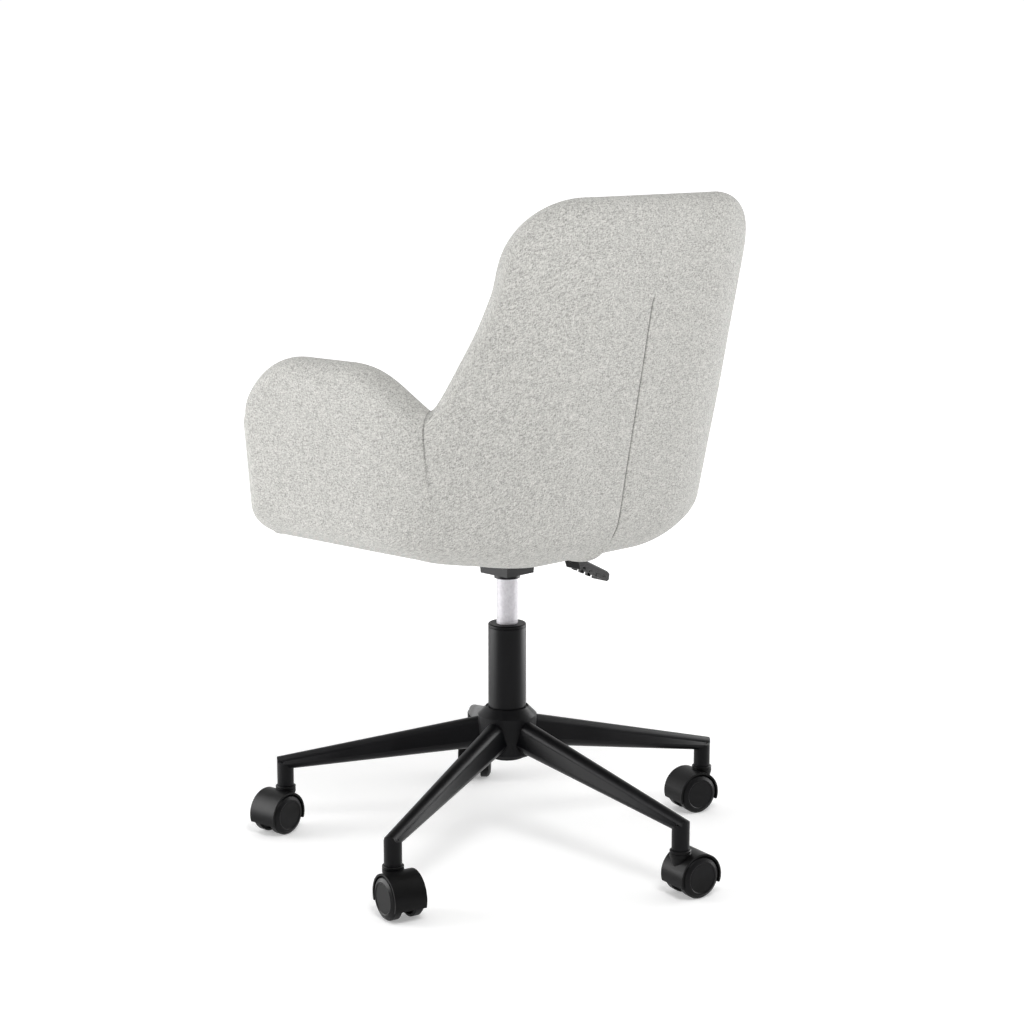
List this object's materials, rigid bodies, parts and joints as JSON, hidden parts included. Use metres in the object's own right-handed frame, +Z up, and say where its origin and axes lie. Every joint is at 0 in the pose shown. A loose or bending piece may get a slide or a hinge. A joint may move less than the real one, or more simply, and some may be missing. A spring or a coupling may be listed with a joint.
{
  "type": "swivel office chair",
  "caption": "Swivel office chair with a padded tub seat on a gas-lift column and a five-legged base on swivelling twin-wheel casters.",
  "frame": {"origin": "on the floor under the column's axis, at the foot of the swivel axis", "axes": "+Z up, the sitter faces -Y, +X to the sitter's left"},
  "size_m": [0.6292, 0.6052, 0.8625],
  "materials": {
    "black_steel": "satin black powder coat",
    "zinc_steel": "dull zinc-plated steel",
    "bright_steel": "plain steel",
    "brass_cage": "pressed brass",
    "black_nylon": "fine-textured moulded nylon",
    "wheel_nylon": "semi-matt moulded nylon",
    "rubber": "moulded rubber",
    "plywood": "moulded birch plywood",
    "fabric": "light grey heathered woven upholstery over foam",
    "dust_cloth": "black non-woven cloth"
  },
  "bodies": {
    "base": {"hub_shell": "black_steel", "hub_sleeve": "black_steel", "leg_1": "black_steel", "leg_2": "black_steel", "leg_3": "black_steel", "leg_4": "black_steel", "leg_5": "black_steel", "stem_sockets": "black_nylon", "caster_stems": "bright_steel", "column_tube": "black_steel", "guide_bush": "black_nylon", "lower_race": "bright_steel"},
    "bearing_cage": {"ball_cage": "brass_cage", "bearing_balls": "bright_steel"},
    "rod": {"piston_rod": "bright_steel", "piston": "rubber", "upper_race": "bright_steel", "bump_stop": "rubber", "retaining_clip": "bright_steel"},
    "seat": {"pressure_tube": "zinc_steel", "rod_guide": "black_nylon", "taper_socket": "black_steel", "mechanism_housing": "black_steel", "lever_pivot_pin": "bright_steel", "seat_plate": "black_steel", "seat_bolts": "bright_steel", "tee_nuts": "bright_steel", "spacer_board": "plywood", "seat_floor": "plywood", "seat_shell": "plywood", "tub_padding": "fabric", "seat_cushion": "fabric", "front_apron": "fabric", "dust_cover": "dust_cloth"},
    "lever": {"lever_rod": "black_steel", "lever_grip": "black_nylon"},
    "valve": {"valve_pin": "bright_steel"},
    "caster_1": {"caster_1_hood": "black_nylon", "caster_1_axle": "bright_steel"},
    "caster_1_wheel_a": {"caster_1_wheel_a": "wheel_nylon"},
    "caster_1_wheel_b": {"caster_1_wheel_b": "wheel_nylon"},
    "caster_2": {"caster_2_hood": "black_nylon", "caster_2_axle": "bright_steel"},
    "caster_2_wheel_a": {"caster_2_wheel_a": "wheel_nylon"},
    "caster_2_wheel_b": {"caster_2_wheel_b": "wheel_nylon"},
    "caster_3": {"caster_3_hood": "black_nylon", "caster_3_axle": "bright_steel"},
    "caster_3_wheel_a": {"caster_3_wheel_a": "wheel_nylon"},
    "caster_3_wheel_b": {"caster_3_wheel_b": "wheel_nylon"},
    "caster_4": {"caster_4_hood": "black_nylon", "caster_4_axle": "bright_steel"},
    "caster_4_wheel_a": {"caster_4_wheel_a": "wheel_nylon"},
    "caster_4_wheel_b": {"caster_4_wheel_b": "wheel_nylon"},
    "caster_5": {"caster_5_hood": "black_nylon", "caster_5_axle": "bright_steel"},
    "caster_5_wheel_a": {"caster_5_wheel_a": "wheel_nylon"},
    "caster_5_wheel_b": {"caster_5_wheel_b": "wheel_nylon"}
  },
  "joints": [
    {"name": "swivel", "type": "hinge", "parent": "base", "child": "rod", "pos_m": [0, 0, 0.117], "axis": [0, 0, 1], "continuous": true},
    {"name": "cage_turn", "type": "hinge", "parent": "base", "child": "bearing_cage", "pos_m": [0, 0, 0.117], "axis": [0, 0, 1], "continuous": true},
    {"name": "lift", "type": "slide", "parent": "rod", "child": "seat", "axis": [0, 0, 1], "range_m": [-0.055, 0.045]},
    {"name": "lever_tip", "type": "hinge", "parent": "seat", "child": "lever", "pos_m": [-0.02, 0, 0.396], "axis": [0, 1, 0], "range_deg": [0, 5], "stiffness_Nm_per_rad": 6, "springref_deg": -4.58},
    {"name": "valve_press", "type": "slide", "parent": "seat", "child": "valve", "axis": [0, 0, -1], "range_m": [0, 0.00175]},
    {"name": "caster_1_swivel", "type": "hinge", "parent": "base", "child": "caster_1", "pos_m": [0.28884, 0.09385, 0.06], "axis": [0, 0, 1], "continuous": true},
    {"name": "caster_1_roll_a", "type": "hinge", "parent": "caster_1", "child": "caster_1_wheel_a", "pos_m": [0.29309, 0.11031, 0.027], "axis": [-0.9681, 0.2504, 0], "continuous": true},
    {"name": "caster_1_roll_b", "type": "hinge", "parent": "caster_1", "child": "caster_1_wheel_b", "pos_m": [0.29309, 0.11031, 0.027], "axis": [-0.9681, 0.2504, 0], "continuous": true},
    {"name": "caster_2_swivel", "type": "hinge", "parent": "base", "child": "caster_2", "pos_m": [0, 0.3037, 0.06], "axis": [0, 0, 1], "continuous": true},
    {"name": "caster_2_roll_a", "type": "hinge", "parent": "caster_2", "child": "caster_2_wheel_a", "pos_m": [-0.01663, 0.30723, 0.027], "axis": [-0.2079, -0.9781, 0], "continuous": true},
    {"name": "caster_2_roll_b", "type": "hinge", "parent": "caster_2", "child": "caster_2_wheel_b", "pos_m": [-0.01663, 0.30723, 0.027], "axis": [-0.2079, -0.9781, 0], "continuous": true},
    {"name": "caster_3_swivel", "type": "hinge", "parent": "base", "child": "caster_3", "pos_m": [-0.28884, 0.09385, 0.06], "axis": [0, 0, 1], "continuous": true},
    {"name": "caster_3_roll_a", "type": "hinge", "parent": "caster_3", "child": "caster_3_wheel_a", "pos_m": [-0.27249, 0.08916, 0.027], "axis": [0.2756, 0.9613, 0], "continuous": true},
    {"name": "caster_3_roll_b", "type": "hinge", "parent": "caster_3", "child": "caster_3_wheel_b", "pos_m": [-0.27249, 0.08916, 0.027], "axis": [0.2756, 0.9613, 0], "continuous": true},
    {"name": "caster_4_swivel", "type": "hinge", "parent": "base", "child": "caster_4", "pos_m": [-0.17851, -0.2457, 0.06], "axis": [0, 0, 1], "continuous": true},
    {"name": "caster_4_roll_a", "type": "hinge", "parent": "caster_4", "child": "caster_4_wheel_a", "pos_m": [-0.16608, -0.2341, 0.027], "axis": [-0.682, 0.7314, 0], "continuous": true},
    {"name": "caster_4_roll_b", "type": "hinge", "parent": "caster_4", "child": "caster_4_wheel_b", "pos_m": [-0.16608, -0.2341, 0.027], "axis": [-0.682, 0.7314, 0], "continuous": true},
    {"name": "caster_5_swivel", "type": "hinge", "parent": "base", "child": "caster_5", "pos_m": [0.17851, -0.2457, 0.06], "axis": [0, 0, 1], "continuous": true},
    {"name": "caster_5_roll_a", "type": "hinge", "parent": "caster_5", "child": "caster_5_wheel_a", "pos_m": [0.19538, -0.24363, 0.027], "axis": [-0.1219, 0.9925, 0], "continuous": true},
    {"name": "caster_5_roll_b", "type": "hinge", "parent": "caster_5", "child": "caster_5_wheel_b", "pos_m": [0.19538, -0.24363, 0.027], "axis": [-0.1219, 0.9925, 0], "continuous": true}
  ],
  "couplings": [
    {"joint": "cage_turn", "follows": "swivel", "ratio": 0.5},
    {"joint": "valve_press", "follows": "lever_tip", "m_per_rad": 0.02}
  ]
}
